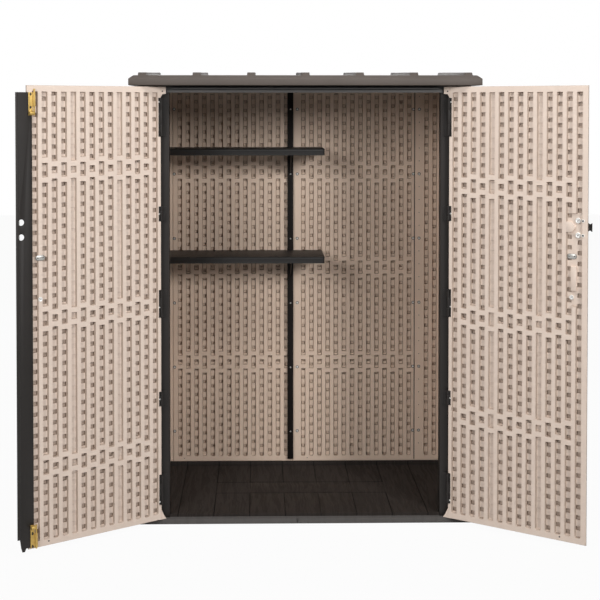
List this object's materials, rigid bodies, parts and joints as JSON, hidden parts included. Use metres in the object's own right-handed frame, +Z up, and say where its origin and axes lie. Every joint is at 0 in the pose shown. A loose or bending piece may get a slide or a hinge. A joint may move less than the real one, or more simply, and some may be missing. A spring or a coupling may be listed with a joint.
{
  "type": "garden storage cabinet",
  "caption": "Tall moulded garden storage cabinet with ribbed roof, plank-pattern floor, inner shelves and two hinged doors with slide bolts.",
  "frame": {"origin": "centre of the base's underside, on the ground", "axes": "+Z up, +X to the right seen from the front, +Y to the rear; the doors open towards -Y"},
  "size_m": [2.2319, 1.1106, 1.8935],
  "materials": {
    "panel_beige": "matt moulded",
    "plastic_dark": "matt moulded",
    "steel_black": "matt paint",
    "brass": "plated",
    "zinc_steel": "zinc plated",
    "plastic_white": "matt"
  },
  "bodies": {
    "cabinet": {"back_post": "plastic_dark", "corner_left": "panel_beige", "corner_right": "panel_beige", "floor_base": "plastic_dark", "gusset_post_high": "steel_black", "gusset_post_low": "steel_black", "gusset_wall_high": "steel_black", "gusset_wall_low": "steel_black", "header": "steel_black", "hinge_brackets_left": "steel_black", "hinge_brackets_right": "steel_black", "jamb_left": "steel_black", "jamb_right": "steel_black", "roof": "plastic_dark", "shelf_high": "plastic_dark", "shelf_low": "plastic_dark", "wall_back_left": "panel_beige", "wall_back_right": "panel_beige", "wall_left": "panel_beige", "wall_right": "panel_beige"},
    "left_door": {"door_left": "panel_beige", "astragal": "steel_black", "bolt_plate_high": "brass", "bolt_plate_low": "brass", "left_fittings": "zinc_steel", "hinge_leaves_left": "steel_black"},
    "right_door": {"door_right": "panel_beige", "latch_fittings": "zinc_steel", "latch_rings": "plastic_white", "handle": "plastic_dark", "hinge_leaves_right": "steel_black"},
    "bolt_high": {"bolt_rod_high": "brass"},
    "bolt_low": {"bolt_rod_low": "brass"}
  },
  "joints": [
    {"name": "door_left_swing", "type": "hinge", "parent": "cabinet", "child": "left_door", "pos_m": [-0.593, -0.369, 0.9], "axis": [0, 0, 1], "range_deg": [-18, 145.8]},
    {"name": "door_right_swing", "type": "hinge", "parent": "cabinet", "child": "right_door", "pos_m": [0.593, -0.369, 0.9], "axis": [0, 0, 1], "range_deg": [-145.8, 18]},
    {"name": "bolt_high_slide", "type": "slide", "parent": "left_door", "child": "bolt_high", "axis": [0, 0, 1], "range_m": [0, 0.015]},
    {"name": "bolt_low_slide", "type": "slide", "parent": "left_door", "child": "bolt_low", "axis": [0, 0, -1], "range_m": [0, 0.018]}
  ]
}
